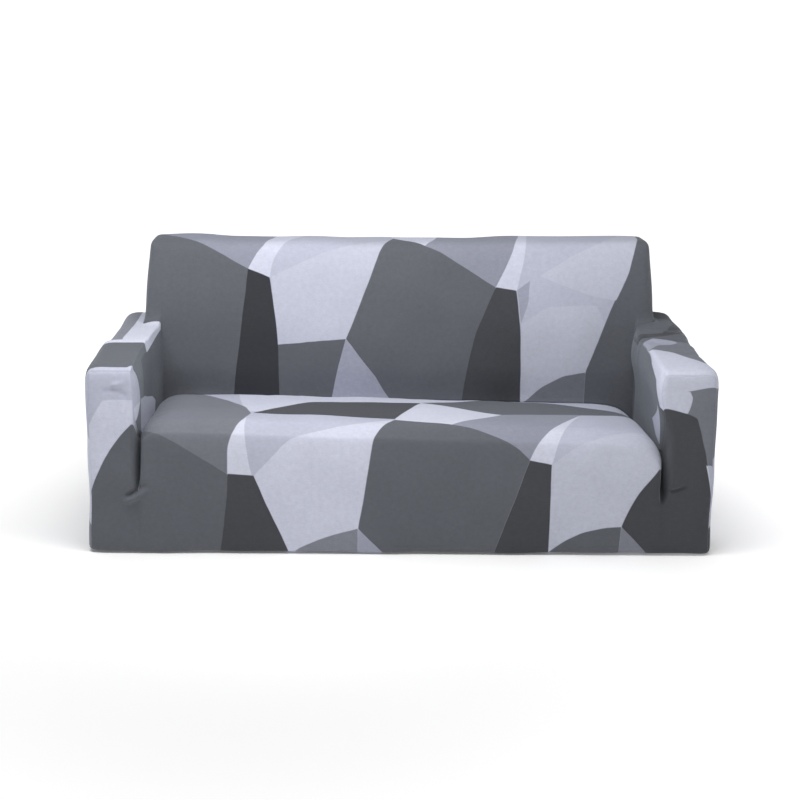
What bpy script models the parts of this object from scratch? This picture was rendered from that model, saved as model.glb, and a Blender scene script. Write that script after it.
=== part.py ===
"""Fitted stretch cover for a two-seat sofa: seven sewn panels that stand as they do when
the cover is pulled on tight, hollow and open at the bottom, with the hem turned under.

X runs across, Y from front to back and Z up. The sizes below are taken from the middle of
the front hem; at the end everything moves so that the origin is under the cloth on top of
the back, where the cover hangs."""

import math

import bmesh
import bpy
from mathutils import Vector

# Driving dimensions in metres, on the outside of the cloth.
WIDTH = 1.718
DEPTH = 0.80
ARM_TOP = 0.519
BACK_TOP = 0.762
SEAT = 0.34  # level of the seat before its crown and slope
CREASE = 0.720  # half the width between the two tucks beside the seat
BACK_FRONT = 0.55  # where the deck meets the back
BACK_HALF = 0.775  # half the width of the back just above the arms
BACK_LEAN = 0.234  # how far the face of the back leans for each metre of height
BACK_TAPER = 0.075  # how far each side of the back draws in for each metre of height
ARM_SEAM = 0.33  # how far back the seam across each arm is
SLIT_FOOT = 0.18  # foot of the slit between the arm front and the seat front
THICKNESS = 0.003
HEM = 0.03  # the width turned under
HEM_LIFT = 0.003  # how much higher its edge lies than the fold
SEAM_GAP = 0.00022  # half the space left between two panels

# Levels of the seat: left end, right end, and how far the deck falls towards the back.
SEAT_LEFT = 0.374
SEAT_RIGHT = 0.346
DECK_FALL = 0.052
FALL_POWER = 1.2  # the deck falls more steeply towards its back
TUCK = 0.03  # how deep the cloth is pushed in behind the seat
SIDE_TUCK = 0.028  # and beside it, under the round shoulders
TUCK_START = 0.2  # share of the side tuck's depth that it has at the front
TUCK_RUN = 0.09  # how far from the front the side tuck reaches its full depth
SLIT = 0.040  # how deep the slit beside the seat front is
SLIT_RUN = 0.20  # how far back the slit's own depth still tells
LIP = 0.008  # half the width of a slit at its mouth

# The round of the seat's front edge, as shares of its radius: how far back and how far
# down its two lines lie.
ROUND_LOW = (0.15, 0.42)
ROUND_HIGH = (0.50, 0.12)
ROUND_REACH = 1.1  # how far below the crown line the flat front begins
SHOULDER_REACH = 0.98  # share of a shoulder's radius that its curve runs through

# Fullness of the cloth over the padding.
ARM_CROWN = 0.012
CROWN_POWER = 0.8  # an arm is fullest a little in front of its middle
BACK_CROWN = 0.012
SEAT_CROWN = 0.010
FRONT_CROWN = 0.006

# What the pull of the cloth does to the arms.
REAR_DRAW = 0.006  # how much slimmer the left arm is behind its seam
REAR_RISE = 0.016  # how far the cloth stands off the right arm beside the back
RISE_RUN = 0.25  # how far behind the seam it stands off all the way
REAR_SINK = 0.012  # how far it sinks beside the back on the left arm
SEAM_SINK = 0.004  # how far the seam across an arm pulls in
SEAM_SLANT = 0.085  # how much further back it runs on the inner side of the right arm
SLANT_RUN = 0.06  # how far behind the seam the cloth is still pulled along with it
FOLD = 0.024  # how far behind that seam the cloth rolls over
FOLD_RISE = 0.009  # height of that roll
FLARE = 0.030  # how far the right arm leans over the seat at its top
FLARE_LEVEL = 0.45  # the level from which it leans all the way
FLARE_TOP = 0.7  # share of the lean at the middle of its top

# Edge radii.
ARM_EDGE = 0.035
ARM_INNER_EDGE = 0.045
FRONT_EDGE = 0.030
SEAT_EDGE = 0.070
BACK_EDGE = 0.045
REAR_EDGE = 0.035
HEM_EDGE = 0.022
SHOULDER_LEFT = 0.060
SHOULDER_RIGHT = 0.100
SEAT_SIDE = 0.26  # the grid line under the seat's front edge

# Grid lines of the cage: each is where the surface bends or a seam runs. Those across are
# for the right half, and the left half has the same.
LINES_X = (
    *(0.0, 0.36, 0.60, 0.66, 0.695, CREASE - LIP, CREASE, CREASE + LIP, 0.744, BACK_HALF),
    *(WIDTH / 2 - ARM_EDGE, WIDTH / 2),
)
LINES_Y = (
    *(0.0, FRONT_EDGE, TUCK_RUN, SLIT_RUN, ARM_SEAM - 0.02, ARM_SEAM, ARM_SEAM + FOLD),
    *(ARM_SEAM + SLANT_RUN, 0.52, BACK_FRONT, 0.61, 0.75, DEPTH - REAR_EDGE, DEPTH),
)
LINES_Z = (
    *(0.0, HEM_EDGE, 0.09, SLIT_FOOT, SEAT_SIDE, SEAT, 0.41, ARM_TOP - ARM_EDGE, ARM_TOP),
    *(0.64, BACK_TOP - BACK_EDGE, BACK_TOP),
)

# A rounded edge of the cage: its corner line is drawn in by this share of the radius, and
# the subdivided surface then runs through the middle of the round.
CORNER = 0.19
FLATNESS = math.radians(4.0)  # faces that turn less than this from each other are joined
EVENING = 4  # passes that even out the way through the cloth
MITRE = 0.4  # the least cosine that a corner of a cut edge is mitred with
CLOSE = 1e-4  # lengths that differ by less than this are the same
UPRIGHT = 0.9  # a face whose normal has this much along an axis faces that way

# Name and colour of each panel.
PANELS = {
    "seat_front_panel": (0.23, 0.24, 0.29),
    "inside_back_panel": (0.26, 0.27, 0.32),
    "outside_back_panel": (0.13, 0.14, 0.16),
    "left_arm_panel": (0.09, 0.095, 0.105),
    "right_arm_panel": (0.55, 0.56, 0.65),
    "left_arm_rear_panel": (0.45, 0.46, 0.54),
    "right_arm_rear_panel": (0.14, 0.145, 0.16),
}
ORDER = list(PANELS)


def same(a, b):
    return abs(a - b) < CLOSE


def past(a, b):
    return a > b + CLOSE


def clear_scene():
    for item in list(bpy.data.objects):
        bpy.data.objects.remove(item, do_unlink=True)


def cut(cage, axis, place):
    """One grid line, cut right round the cage."""
    point, normal = Vector((0, 0, 0)), Vector((0, 0, 0))
    point[axis] = place
    normal[axis] = 1
    everything = cage.verts[:] + cage.edges[:] + cage.faces[:]
    bmesh.ops.bisect_plane(cage, geom=everything, dist=1e-6, plane_co=point, plane_no=normal)


def raise_block(cage, level, top, inside):
    """Lifts the part of the faces at one level that lies over a block."""
    lifted = [
        face
        for face in cage.faces
        if same(face.calc_center_median().z, level)
        and abs(face.normal.z) > UPRIGHT
        and inside(face.calc_center_median())
    ]
    risen = bmesh.ops.extrude_face_region(cage, geom=lifted)["geom"]
    bmesh.ops.delete(cage, geom=lifted, context="FACES")
    moved = [item for item in risen if isinstance(item, bmesh.types.BMVert)]
    bmesh.ops.translate(cage, verts=moved, vec=(0, 0, top - level))


def block_out():
    """The cover as square blocks: base, two arms and back, cut along every grid line."""
    cage = bmesh.new()
    bmesh.ops.create_cube(cage, size=1.0)
    bmesh.ops.scale(cage, verts=cage.verts, vec=(WIDTH, DEPTH, SEAT))
    bmesh.ops.translate(cage, verts=cage.verts, vec=(0, DEPTH / 2, SEAT / 2))
    for place in LINES_X[:-1]:
        cut(cage, 0, place)
        cut(cage, 0, -place)
    for place in LINES_Y[1:-1]:
        cut(cage, 1, place)
    raise_block(cage, SEAT, ARM_TOP, lambda c: abs(c.x) > CREASE or c.y > BACK_FRONT)
    raise_block(cage, ARM_TOP, BACK_TOP, lambda c: abs(c.x) < BACK_HALF and c.y > BACK_FRONT)
    for place in LINES_Z[1:-1]:
        cut(cage, 2, place)
    under = [face for face in cage.faces if same(face.calc_center_median().z, 0.0)]
    bmesh.ops.delete(cage, geom=under, context="FACES")
    cage.normal_update()
    return cage


def panel_of(face):
    """Which panel a face of the blocks belongs to."""
    middle, out = face.calc_center_median(), face.normal
    faces_front = out.y < -UPRIGHT
    if out.y > UPRIGHT and same(middle.y, DEPTH):
        return "outside_back_panel"
    if past(middle.z, ARM_TOP) or (faces_front and past(middle.y, 0)):
        return "inside_back_panel"
    if faces_front or (abs(middle.x) < CREASE and not past(middle.z, SEAT)):
        return "seat_front_panel"
    side = "left" if middle.x < 0 else "right"
    return f"{side}_arm_panel" if middle.y < ARM_SEAM else f"{side}_arm_rear_panel"


def seat_level(x):
    """The crown line of the seat, a little lower to the right, round at both shoulders."""
    share = (x + CREASE) / (2 * CREASE)
    level = SEAT_LEFT + (SEAT_RIGHT - SEAT_LEFT) * share
    radius = SHOULDER_RIGHT if x > 0 else SHOULDER_LEFT
    over = min(max(abs(x) - (CREASE - radius), 0), radius * SHOULDER_REACH)
    return level - radius + math.sqrt(radius**2 - over**2)


def deck_level(x, y):
    """The deck: it falls to the back and is crowned across the seat."""
    share = min(y / BACK_FRONT, 1.0)
    crown = SEAT_CROWN * math.sin(math.pi * share) * (1 - (x / CREASE) ** 2)
    return seat_level(x) - DECK_FALL * share**FALL_POWER + crown


def seat_point(x, y, z):
    """The seat's deck and front, with the tucks beside and behind it."""
    at_crease, at_front = same(abs(x), CREASE), same(y, 0)
    if same(z, SEAT):
        z = deck_level(x, y)
        if at_crease:
            # The tuck deepens from the front, where the slit below it begins.
            z -= SIDE_TUCK * (TUCK_START + (1 - TUCK_START) * min(y / TUCK_RUN, 1))
            y = SLIT + y * (1 - SLIT / SLIT_RUN) if y < SLIT_RUN else y
        elif at_front:
            y, z = ROUND_LOW[0] * SEAT_EDGE, z - ROUND_LOW[1] * SEAT_EDGE
        elif same(y, FRONT_EDGE):
            y, z = ROUND_HIGH[0] * SEAT_EDGE, z - ROUND_HIGH[1] * SEAT_EDGE
        if same(y, BACK_FRONT):
            y, z = y + LIP, z - TUCK
    elif at_front and z > HEM_EDGE:
        rise = seat_level(x) - ROUND_REACH * SEAT_EDGE
        z += (rise - SEAT_SIDE) * (z - HEM_EDGE) / (SEAT_SIDE - HEM_EDGE)
        if not at_crease:
            y -= FRONT_CROWN * math.sin(math.pi * min(z / SEAT, 1))
    return x, y, z


def slit_depth(x, y, z):
    """How far the cloth is drawn in between the arm front and the seat front."""
    if same(abs(x), CREASE) and same(y, 0) and not past(SLIT_FOOT, z) and past(SEAT, z):
        return SLIT * (1.0 if past(z, SLIT_FOOT) else 0.5)
    return 0.0


def arm_edges(x, y, z):
    """An arm with its edges rounded."""
    side = 1 if x > 0 else -1
    outer, inner = same(abs(x), WIDTH / 2), same(abs(x), CREASE) and past(z, SEAT)
    top, front, rear = same(z, ARM_TOP), same(y, 0), same(y, DEPTH)
    if outer:
        x -= side * CORNER * ARM_EDGE * (top + (front or rear))
    if inner:
        x += side * CORNER * (ARM_INNER_EDGE * top + FRONT_EDGE * front)
    if top:
        z -= CORNER * (ARM_EDGE * (outer + front + rear) + ARM_INNER_EDGE * inner)
    if front and (outer or top or inner):
        y += CORNER * FRONT_EDGE * (1 + (top and (outer or inner)))
    if rear and (outer or top):
        y -= CORNER * REAR_EDGE
    return x, y, z


def arm_pull(x, y, z, block):
    """What the pull of the cloth does to an arm; block is the point before it was rounded."""
    side = 1 if x > 0 else -1
    top, behind = same(block.z, ARM_TOP), past(block.y, ARM_SEAM)
    at_seam, outer = same(block.y, ARM_SEAM), same(abs(block.x), WIDTH / 2)
    if top:
        z += ARM_CROWN * math.sin(math.pi * min(y / BACK_FRONT, 1) ** CROWN_POWER)
        z -= SEAM_SINK * at_seam
    if outer:
        x -= side * SEAM_SINK * at_seam
    if side < 0 and behind and abs(x) > BACK_HALF:
        x += REAR_DRAW
    if side > 0 and past(block.z, SEAT):
        inward = min((WIDTH / 2 - block.x) / (WIDTH / 2 - CREASE), 1)
        if block.x < BACK_HALF + CLOSE:
            lean = min((block.z - SEAT) / (FLARE_LEVEL - SEAT), 1)
            x -= FLARE * lean * (1 if same(block.x, CREASE) else FLARE_TOP)
        if top and behind:
            z += REAR_RISE * min((block.y - ARM_SEAM) / RISE_RUN, 1)
            z += FOLD_RISE * inward * same(block.y, ARM_SEAM + FOLD)
        if past(block.y, SLIT_RUN) and not past(block.y, ARM_SEAM + SLANT_RUN):
            y += SEAM_SLANT * inward
    return x, y, z


def back_point(x, y, z):
    """The back: its face leans, its sides draw in, and its edges are round."""
    side = 1 if x > 0 else -1
    end, top = same(abs(x), BACK_HALF), same(z, BACK_TOP)
    face, rear = same(y, BACK_FRONT), same(y, DEPTH)
    y += BACK_LEAN * (z - SEAT) * (DEPTH - y) / (DEPTH - BACK_FRONT)
    if face:
        rise = (z - SEAT) / (BACK_TOP - SEAT)
        y -= BACK_CROWN * (1 - (x / BACK_HALF) ** 2) * math.sin(math.pi * rise)
    if past(z, ARM_TOP):
        x -= x / BACK_HALF * BACK_TAPER * (z - ARM_TOP)
        if end + top + (face or rear) >= 2:
            x -= side * CORNER * BACK_EDGE * end
            z -= CORNER * BACK_EDGE * top
            y += CORNER * BACK_EDGE * (face - rear)
    elif end:
        z += REAR_RISE if side > 0 else -REAR_SINK * (not rear)
    return x, y, z


def shape(cage):
    """Moves each crossing of the grid from its block to its place on the worn cover."""
    for vert in cage.verts:
        block = vert.co.copy()
        x, y, z = block
        over_seat = not past(abs(x), CREASE) and not past(z, SEAT) and not past(y, BACK_FRONT)
        in_back = not past(abs(x), BACK_HALF) and not past(BACK_FRONT, y) and past(z, SEAT)
        if in_back:
            vert.co = back_point(x, y, z)
        elif over_seat and (same(y, 0) or same(z, SEAT)):
            vert.co = seat_point(x, y, z)
            vert.co.y += slit_depth(x, y, z)
        else:
            vert.co = arm_pull(*arm_edges(x, y, z), block)


def turn_hem(cage):
    """The hem: the bottom edge turned under the base."""
    rim = [edge for edge in cage.edges if edge.is_boundary]
    turned = bmesh.ops.extrude_edge_only(cage, edges=rim)["geom"]
    for item in turned:
        if isinstance(item, bmesh.types.BMVert):
            x, y, z = item.co
            x = max(min(x, WIDTH / 2 - HEM), HEM - WIDTH / 2)
            y = max(min(y, DEPTH - HEM), HEM)
            item.co = (x, y, z + HEM_LIFT)
        elif isinstance(item, bmesh.types.BMFace):
            beside = [face for edge in item.edges for face in edge.link_faces]
            walls = [face for face in beside if past(face.calc_center_median().z, 0)]
            item.material_index = walls[0].material_index


def smooth_cover():
    """The whole cover as one smooth sheet, each face marked with its panel."""
    cage = block_out()
    for face in cage.faces:
        face.material_index = ORDER.index(panel_of(face))
    turn_hem(cage)
    shape(cage)
    bmesh.ops.recalc_face_normals(cage, faces=cage.faces)
    mesh = bpy.data.meshes.new("cage")
    cage.to_mesh(mesh)
    cage.free()
    holder = bpy.data.objects.new("cage", mesh)
    bpy.context.scene.collection.objects.link(holder)
    rounding = holder.modifiers.new("rounding", "SUBSURF")
    rounding.levels = rounding.render_levels = 2
    sheet = bmesh.new()
    sheet.from_object(holder, bpy.context.evaluated_depsgraph_get())
    bpy.data.objects.remove(holder, do_unlink=True)
    whole = {"verts": sheet.verts, "edges": sheet.edges}
    bmesh.ops.dissolve_limit(sheet, angle_limit=FLATNESS, delimit={"MATERIAL"}, **whole)
    bmesh.ops.triangulate(sheet, faces=sheet.faces)
    return sheet


def inward_of(sheet):
    """For each point the way through the cloth, evened out where it turns sharply in a tuck."""
    sheet.verts.ensure_lookup_table()
    around = [[edge.other_vert(vert).index for edge in vert.link_edges] for vert in sheet.verts]
    ways = [-vert.normal for vert in sheet.verts]
    for _ in range(EVENING):
        means = [sum((ways[j] for j in near), Vector()) / len(near) for near in around]
        ways = [(way + mean).normalized() for way, mean in zip(ways, means)]
    return [THICKNESS * way for way in ways]


def seam_move(vert):
    """Draws a point of a panel's cut edge back from its neighbour, square to both edges there."""
    square = []
    for edge in vert.link_edges:
        if edge.is_boundary:
            face = edge.link_faces[0]
            along = (edge.verts[1].co - edge.verts[0].co).normalized()
            into = face.normal.cross(along)
            if into.dot(face.calc_center_median() - edge.verts[0].co) < 0:
                into.negate()
            square.append(into)
    way = (square[0] + square[1]).normalized()
    return SEAM_GAP / max(way.dot(square[0]), MITRE) * way


def split_rim(panel, number, wall):
    """Cuts every face of the cut edge across the same way on both sides of a seam."""
    for face in panel.faces[:]:
        if len(face.verts) == 4:
            outer = sorted((v for v in face.verts if v[wall] == 0), key=lambda v: v[number])
            inner = sorted((v for v in face.verts if v[wall] == 1), key=lambda v: v[number])
            bmesh.utils.face_split(face, outer[0], inner[1])


def cut_panel(sheet, name):
    """One panel, cut out of the sheet along its seams and given the thickness of the cloth."""
    panel = sheet.copy()
    inward = panel.verts.layers.float_vector.new("inward")
    number = panel.verts.layers.int.new("number")
    wall = panel.verts.layers.int.new("wall")
    panel.normal_update()
    for vert, way in zip(panel.verts, inward_of(panel)):
        vert[inward] = way
        vert[number] = vert.index
    others = [face for face in panel.faces if face.material_index != ORDER.index(name)]
    bmesh.ops.delete(panel, geom=others, context="FACES")
    moves = {vert: seam_move(vert) for vert in panel.verts if vert.is_boundary}
    for vert, move in moves.items():
        vert.co += move
    doubled = bmesh.ops.extrude_face_region(panel, geom=panel.faces[:], use_keep_orig=True)
    for item in doubled["geom"]:
        if isinstance(item, bmesh.types.BMVert):
            item.co += item[inward]
            item[wall] = 1
    split_rim(panel, number, wall)
    for face in panel.faces:
        face.material_index = 0
    bmesh.ops.recalc_face_normals(panel, faces=panel.faces)
    return panel


def cloth_material(name, colour):
    material = bpy.data.materials.new(name)
    material.use_nodes = True
    surface = material.node_tree.nodes["Principled BSDF"]
    surface.inputs["Base Color"].default_value = (*colour, 1)
    surface.inputs["Roughness"].default_value = 0.9
    surface.inputs["Metallic"].default_value = 0.0
    return material


def main():
    clear_scene()
    sheet = smooth_cover()
    top_middle = (DEPTH + BACK_FRONT + BACK_LEAN * (BACK_TOP - SEAT)) / 2
    hold = Vector((0, top_middle, BACK_TOP - THICKNESS))
    for name, colour in PANELS.items():
        panel = cut_panel(sheet, name)
        bmesh.ops.translate(panel, verts=panel.verts, vec=-hold)
        mesh = bpy.data.meshes.new(name)
        panel.to_mesh(mesh)
        panel.free()
        mesh.materials.append(cloth_material(name, colour))
        mesh.shade_smooth()
        bpy.context.scene.collection.objects.link(bpy.data.objects.new(name, mesh))
    sheet.free()


main()
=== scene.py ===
import math

import bmesh
import bpy
import numpy as np
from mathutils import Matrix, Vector, kdtree


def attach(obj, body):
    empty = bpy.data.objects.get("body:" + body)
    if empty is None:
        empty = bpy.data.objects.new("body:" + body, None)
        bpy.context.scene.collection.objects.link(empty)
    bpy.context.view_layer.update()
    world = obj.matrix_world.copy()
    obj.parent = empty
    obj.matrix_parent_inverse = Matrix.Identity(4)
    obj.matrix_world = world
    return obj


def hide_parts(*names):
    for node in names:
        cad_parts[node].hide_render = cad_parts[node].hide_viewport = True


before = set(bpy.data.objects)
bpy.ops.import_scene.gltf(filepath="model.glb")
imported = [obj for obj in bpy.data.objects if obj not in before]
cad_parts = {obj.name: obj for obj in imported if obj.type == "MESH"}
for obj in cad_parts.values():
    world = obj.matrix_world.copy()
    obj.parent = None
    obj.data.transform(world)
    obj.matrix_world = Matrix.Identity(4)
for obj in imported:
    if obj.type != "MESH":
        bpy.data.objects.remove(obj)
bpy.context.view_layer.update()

scene = bpy.context.scene

# the camera stands a little left of the middle and looks down on the seat
cameraSet = {
    "place": (-0.101, -4.975, 0.769),
    "turn": (75.63, -0.70, -1.06),
    "lens": 73.35,
    "sensor": 36,
    "sight": 60,
}

cameraData = bpy.data.cameras.new("camera")
cameraData.lens = cameraSet["lens"]
cameraData.sensor_width = cameraSet["sensor"]
cameraData.clip_end = cameraSet["sight"]
camera = bpy.data.objects.new("camera", cameraData)
camera.location = cameraSet["place"]
camera.rotation_euler = [math.radians(a) for a in cameraSet["turn"]]
scene.collection.objects.link(camera)
scene.camera = camera
print("camera made")

# the worn cover in metres: x across, y back from the arm fronts, z up from the hem
cover = {
    "width": 1.718,
    "depth": 0.80,
    "armTop": 0.519,
    "backTop": 0.762,
    "seat": 0.34,
    "crease": 0.720,  # tucks beside the seat, from the middle
    "backFront": 0.55,  # foot of the back
    "backHalf": 0.775,
    "backLean": 0.234,
    "backTaper": 0.075,
    "armSeam": 0.33,
    "slitFoot": 0.18,
    "corner": 0.19,  # share of an edge's radius that the cage's corner line is drawn in by
    "hem": 0.03,
    "hemLift": 0.003,
    "cloth": 0.003,
    "rounding": 3,
}

# where the block is cut; the places across stand on both sides of the middle
gridLines = {
    "x": [0.09, 0.18, 0.27, 0.36, 0.45, 0.53, 0.60, 0.66, 0.695, 0.712, 0.720, 0.728, 0.744, 0.775,
          0.80, 0.824],
    "y": [0.03, 0.06, 0.09, 0.145, 0.20, 0.255, 0.31, 0.33, 0.354, 0.39, 0.45, 0.52, 0.55, 0.61,
          0.68, 0.75, 0.765],
    "z": [0.022, 0.09, 0.15, 0.165, 0.18, 0.205, 0.26, 0.30, 0.34, 0.375, 0.41, 0.447, 0.484,
          0.519, 0.58, 0.64, 0.725],
}
tolerance = 1e-4  # places on the grid that are nearer than this are the same
facing = 0.9  # a block's face looks along an axis where its normal has more than this of it

# each panel and the solid that it stands for
cadNames = {
    "seatFront": "seat_front_panel",
    "insideBack": "inside_back_panel",
    "outsideBack": "outside_back_panel",
    "leftArm": "left_arm_panel",
    "rightArm": "right_arm_panel",
    "leftArmRear": "left_arm_rear_panel",
    "rightArmRear": "right_arm_rear_panel",
}
panelNames = list(cadNames)


def same(a, b):
    return abs(a - b) < tolerance


def past(a, b):
    return a > b + tolerance


def cutAcross(cage, axis, place):
    point, normal = Vector((0, 0, 0)), Vector((0, 0, 0))
    point[axis] = place
    normal[axis] = 1
    everything = cage.verts[:] + cage.edges[:] + cage.faces[:]
    bmesh.ops.bisect_plane(cage, geom=everything, dist=1e-6, plane_co=point, plane_no=normal)


def raiseBlock(cage, level, top, inside):
    lifted = []
    for face in cage.faces:
        middle = face.calc_center_median()
        if same(middle.z, level) and abs(face.normal.z) > facing and inside(middle):
            lifted.append(face)
    risen = bmesh.ops.extrude_face_region(cage, geom=lifted)["geom"]
    bmesh.ops.delete(cage, geom=lifted, context="FACES")
    moved = [item for item in risen if isinstance(item, bmesh.types.BMVert)]
    bmesh.ops.translate(cage, verts=moved, vec=(0, 0, top - level))


def blockOut():
    c = cover
    cage = bmesh.new()
    bmesh.ops.create_cube(cage, size=1.0)
    bmesh.ops.scale(cage, verts=cage.verts, vec=(c["width"], c["depth"], c["seat"]))
    bmesh.ops.translate(cage, verts=cage.verts, vec=(0, c["depth"] / 2, c["seat"] / 2))
    cutAcross(cage, 0, 0)
    for place in gridLines["x"]:
        cutAcross(cage, 0, place)
        cutAcross(cage, 0, -place)
    for place in gridLines["y"]:
        cutAcross(cage, 1, place)
    raiseBlock(cage, c["seat"], c["armTop"],
               lambda p: abs(p.x) > c["crease"] or p.y > c["backFront"])
    raiseBlock(cage, c["armTop"], c["backTop"],
               lambda p: abs(p.x) < c["backHalf"] and p.y > c["backFront"])
    for place in gridLines["z"]:
        cutAcross(cage, 2, place)
    under = [face for face in cage.faces if same(face.calc_center_median().z, 0)]
    bmesh.ops.delete(cage, geom=under, context="FACES")
    cage.normal_update()
    return cage


def panelOf(face):
    c = cover
    middle, out = face.calc_center_median(), face.normal
    if out.y > facing and same(middle.y, c["depth"]):
        return "outsideBack"
    if past(middle.z, c["armTop"]) or (out.y < -facing and past(middle.y, 0)):
        return "insideBack"
    if out.y < -facing or (abs(middle.x) < c["crease"] and not past(middle.z, c["seat"])):
        return "seatFront"
    side = "left" if middle.x < 0 else "right"
    return side + ("Arm" if middle.y < c["armSeam"] else "ArmRear")


# the seat: its fullness, the rolled front edge, the tucks round it and the slits
seatForm = {
    "left": 0.374,  # height over the hem at either side
    "right": 0.346,
    "shoulderLeft": 0.060,
    "shoulderRight": 0.100,
    "shoulderReach": 0.98,
    "fall": 0.052,  # from the front to the back
    "fallPower": 1.2,
    "crown": 0.010,
    "tuck": 0.03,
    "lip": 0.008,
    "sideTuck": 0.028,
    "sideTuckStart": 0.2,  # share of it at the front
    "sideTuckRun": 0.09,
    "slit": 0.095,
    "slitRun": 0.20,
    "slitFootShare": 0.18,
    "edge": 0.070,  # radius of the roll; the next six are shares of it
    "edgeOut": 0.15,
    "edgeDrop": 0.42,
    "roundStart": 0.22,
    "roundFall": 0.25,
    "under": 1.1,
    "bulge": 0.06,
    "roundPower": 1.1,
    "frontCrown": 0.006,
    "followFrom": 0.022,  # between these levels the front's grid follows the seat's height
    "followFull": 0.26,
    "followMost": 1.35,
    "held": 0.35,  # but less at the right slit's foot, up to where heldRun ends
    "heldFrom": 0.205,
    "heldRun": 0.095,
}


def seatLevel(x):
    s, crease = seatForm, cover["crease"]
    share = (x + crease) / (2 * crease)
    level = s["left"] + (s["right"] - s["left"]) * share
    radius = s["shoulderRight"] if x > 0 else s["shoulderLeft"]
    over = min(max(abs(x) - (crease - radius), 0), radius * s["shoulderReach"])
    return level - radius + math.sqrt(radius**2 - over**2)


def deckLevel(x, y):
    s = seatForm
    share = min(y / cover["backFront"], 1.0)
    crown = s["crown"] * math.sin(math.pi * share) * (1 - (x / cover["crease"]) ** 2)
    return seatLevel(x) - s["fall"] * share ** s["fallPower"] + crown


def seatPoint(x, y, z):
    c, s = cover, seatForm
    atCrease, atFront = same(abs(x), c["crease"]), same(y, 0)
    edge = s["edge"]
    if same(z, c["seat"]):
        z = deckLevel(x, y)
        if atCrease:
            start = s["sideTuckStart"]
            z -= s["sideTuck"] * (start + (1 - start) * min(y / s["sideTuckRun"], 1))
            if y < s["slitRun"]:
                y = s["slit"] + y * (1 - s["slit"] / s["slitRun"])
        elif atFront:
            y, z = s["edgeOut"] * edge, z - s["edgeDrop"] * edge
        elif y < edge:
            # the round behind the front edge
            share, start = y / edge, s["roundStart"]
            y = edge * (start + (1 - start) * share ** s["roundPower"])
            z -= s["roundFall"] * edge * (1 - share) ** 2
        if same(y, c["backFront"]):
            y, z = y + s["lip"], z - s["tuck"]
    elif atFront and past(z, s["followFrom"]):
        rise = seatLevel(x) - s["under"] * edge
        held = 1
        if atCrease and x > 0:
            share = min(max((z - s["heldFrom"]) / s["heldRun"], 0), 1)
            held = s["held"] + (1 - s["held"]) * share
        follow = (z - s["followFrom"]) / (s["followFull"] - s["followFrom"])
        z += held * (rise - s["followFull"]) * min(follow, s["followMost"])
        if not atCrease:
            y -= s["frontCrown"] * math.sin(math.pi * min(z / c["seat"], 1))
            if past(z, rise):
                y += s["bulge"] * edge
    return x, y, z


def slitDepth(x, y, z):
    c, s = cover, seatForm
    if not (same(abs(x), c["crease"]) and same(y, 0)):
        return 0.0
    if past(c["slitFoot"], z) or not past(c["seat"], z):
        return 0.0
    return s["slit"] * (1 if past(z, c["slitFoot"]) else s["slitFootShare"])


# the arms: rounded edges, then what the stretched cloth does to each of them
armForm = {
    "edge": 0.035,
    "innerEdge": 0.045,
    "frontEdge": 0.030,
    "rearEdge": 0.035,
    "nose": 0.006,  # more rounding where inner side, top and front meet
    "noseDrop": 1.5,
    "crown": 0.012,
    "crownPower": 0.8,
    "seamSink": 0.004,
    "rearDraw": 0.006,  # the left arm is drawn in behind its seam
    "footDraw": 0.007,  # and comes out towards the hem, from this height down
    "footHeight": 0.20,
    "nip": 0.011,  # the right arm's outer side is drawn in, high up beside its seam
    "nipFrom": 0.08,
    "nipTo": 0.40,
    "nipLevel": 0.36,
    "nipRise": 0.12,
    "flare": 0.030,  # its inner side leans over the seat
    "flareLevel": 0.45,
    "flareShare": 0.7,
    "rearRise": 0.016,  # it is fuller behind its seam
    "riseRun": 0.25,
    "seamSlant": 0.085,  # and the seam runs further back on the inner side
    "slantFrom": 0.20,
    "slantRun": 0.12,
}


def armEdges(x, y, z):
    c, a = cover, armForm
    side = 1 if x > 0 else -1
    outer = same(abs(x), c["width"] / 2)
    inner = same(abs(x), c["crease"]) and past(z, c["seat"])
    top, front, rear = same(z, c["armTop"]), same(y, 0), same(y, c["depth"])
    if outer:
        x -= side * c["corner"] * a["edge"] * (top + (front or rear))
    if inner:
        x += side * c["corner"] * (a["innerEdge"] * top + a["frontEdge"] * front)
    if top:
        z -= c["corner"] * (a["edge"] * (outer + front + rear) + a["innerEdge"] * inner)
    if front and (outer or top or inner):
        y += c["corner"] * a["frontEdge"] * (1 + (top and (outer or inner)))
    if rear and (outer or top):
        y -= c["corner"] * a["rearEdge"]
    if inner and top and front:
        x, y, z = x + side * a["nose"], y + a["nose"], z - a["noseDrop"] * a["nose"]
    return x, y, z


def leftPull(x, z, block):
    c, a = cover, armForm
    if past(block.y, c["armSeam"]) and abs(x) > c["backHalf"]:
        x += a["rearDraw"]
    if same(-block.x, c["width"] / 2):
        x -= a["footDraw"] * max(1 - z / a["footHeight"], 0)
    return x


def rightPull(x, y, z, block):
    c, a = cover, armForm
    half = c["width"] / 2
    if same(block.x, half) and a["nipFrom"] < y < a["nipTo"]:
        x -= a["nip"] * min(max((z - a["nipLevel"]) / a["nipRise"], 0), 1)
    if not past(block.z, c["seat"]):
        return x, y, z
    if not past(block.x, c["backHalf"]):
        lean = min((block.z - c["seat"]) / (a["flareLevel"] - c["seat"]), 1)
        x -= a["flare"] * lean * (1 if same(block.x, c["crease"]) else a["flareShare"])
    behind = block.y - c["armSeam"]
    if same(block.z, c["armTop"]) and past(behind, 0):
        z += a["rearRise"] * min(behind / a["riseRun"], 1)
    if past(block.y, a["slantFrom"]):
        inward = min((half - block.x) / (half - c["crease"]), 1)
        y += a["seamSlant"] * inward * min(max(1 - behind / a["slantRun"], 0), 1)
    return x, y, z


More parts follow.
